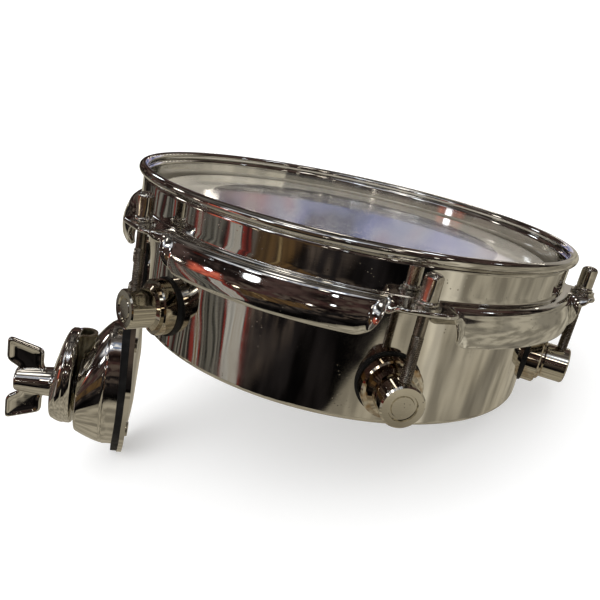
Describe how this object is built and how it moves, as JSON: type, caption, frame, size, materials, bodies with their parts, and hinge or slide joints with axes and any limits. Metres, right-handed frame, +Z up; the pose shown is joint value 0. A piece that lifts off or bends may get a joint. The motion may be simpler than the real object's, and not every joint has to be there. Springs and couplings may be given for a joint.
{
  "type": "single-headed metal drum",
  "caption": "Shallow chromed single-headed drum with a flanged counterhoop, tube-style lugs, key tension rods and a stand-rod clamp bracket.",
  "frame": {"origin": "middle of the bounding box, at the floor that the drum lies on", "axes": "+Z up from the floor; +X along the lean, from the bracket's wing nut to the low side of the shell; +Y completes the right-hand set. The drum's own axis leans 23.3 degrees from +Z towards +X."},
  "size_m": [0.3796, 0.301, 0.1849],
  "materials": {
    "chrome_shell": "mirror chrome over pressed steel, fine scratches",
    "chrome_lug": "mirror chrome, brown tint where the plating is worn",
    "chrome_hoop": "mirror chrome, lightly pitted on the skirt",
    "steel_rod": "dull nickel plate, threads dark with old oil",
    "film": "smooth glossy polyester film",
    "rubber": "black rubber, satin",
    "chrome_bracket": "mirror chrome over cast zinc",
    "zinc_fastener": "bright zinc plate",
    "spring_steel": "dark spring steel"
  },
  "bodies": {
    "drum": {"shell": "chrome_shell", "lug_gaskets": "rubber", "lug_washers": "zinc_fastener", "lug_screws": "zinc_fastener", "bracket_pad": "rubber", "bracket_plate": "chrome_bracket", "bracket_gasket": "rubber", "bracket_housing": "chrome_bracket", "bracket_bolts": "zinc_fastener", "bracket_washers": "zinc_fastener", "bracket_nuts": "zinc_fastener", "housing_screws": "zinc_fastener", "clamp_stud": "zinc_fastener", "clamp_sleeve": "zinc_fastener", "clamp_spring": "spring_steel", "lug_1": "chrome_lug", "lug_2": "chrome_lug", "lug_3": "chrome_lug", "lug_4": "chrome_lug", "lug_5": "chrome_lug", "lug_6": "chrome_lug"},
    "hoop": {"counterhoop": "chrome_hoop", "drumhead_film": "film", "film_collar": "film", "flesh_hoop": "chrome_hoop", "rod_washers": "steel_rod"},
    "cap": {"clamp_cap": "chrome_bracket"},
    "wing": {"wing_nut": "chrome_bracket"},
    "rod_1": {"tension_rod_1": "steel_rod"},
    "rod_2": {"tension_rod_2": "steel_rod"},
    "rod_3": {"tension_rod_3": "steel_rod"},
    "rod_4": {"tension_rod_4": "steel_rod"},
    "rod_5": {"tension_rod_5": "steel_rod"},
    "rod_6": {"tension_rod_6": "steel_rod"}
  },
  "joints": [
    {"name": "hoop_lift", "type": "slide", "parent": "drum", "child": "hoop", "axis": [0.3962, 0, 0.9182], "range_m": [0, 0.06]},
    {"name": "rod_1_turn", "type": "hinge", "parent": "hoop", "child": "rod_1", "pos_m": [0.16445, 0.07175, 0.04534], "axis": [0.3962, 0, 0.9182], "continuous": true},
    {"name": "rod_2_turn", "type": "hinge", "parent": "hoop", "child": "rod_2", "pos_m": [0.05035, 0.1435, 0.09457], "axis": [0.3962, 0, 0.9182], "continuous": true},
    {"name": "rod_3_turn", "type": "hinge", "parent": "hoop", "child": "rod_3", "pos_m": [-0.06376, 0.07175, 0.14381], "axis": [0.3962, 0, 0.9182], "continuous": true},
    {"name": "rod_4_turn", "type": "hinge", "parent": "hoop", "child": "rod_4", "pos_m": [-0.06376, -0.07175, 0.14381], "axis": [0.3962, 0, 0.9182], "continuous": true},
    {"name": "rod_5_turn", "type": "hinge", "parent": "hoop", "child": "rod_5", "pos_m": [0.05035, -0.1435, 0.09457], "axis": [0.3962, 0, 0.9182], "continuous": true},
    {"name": "rod_6_turn", "type": "hinge", "parent": "hoop", "child": "rod_6", "pos_m": [0.16445, -0.07175, 0.04534], "axis": [0.3962, 0, 0.9182], "continuous": true},
    {"name": "cap_slide", "type": "slide", "parent": "drum", "child": "cap", "axis": [-0.9182, 0, 0.3962], "range_m": [0, 0.00375], "deforming": ["clamp_spring"]},
    {"name": "wing_turn", "type": "hinge", "parent": "cap", "child": "wing", "pos_m": [-0.16369, -0.004, 0.06549], "axis": [-0.9182, 0, 0.3962], "range_deg": [0, 1080]}
  ],
  "couplings": [
    {"joint": "wing_turn", "follows": "cap_slide", "rad_per_m": 5026.5}
  ]
}
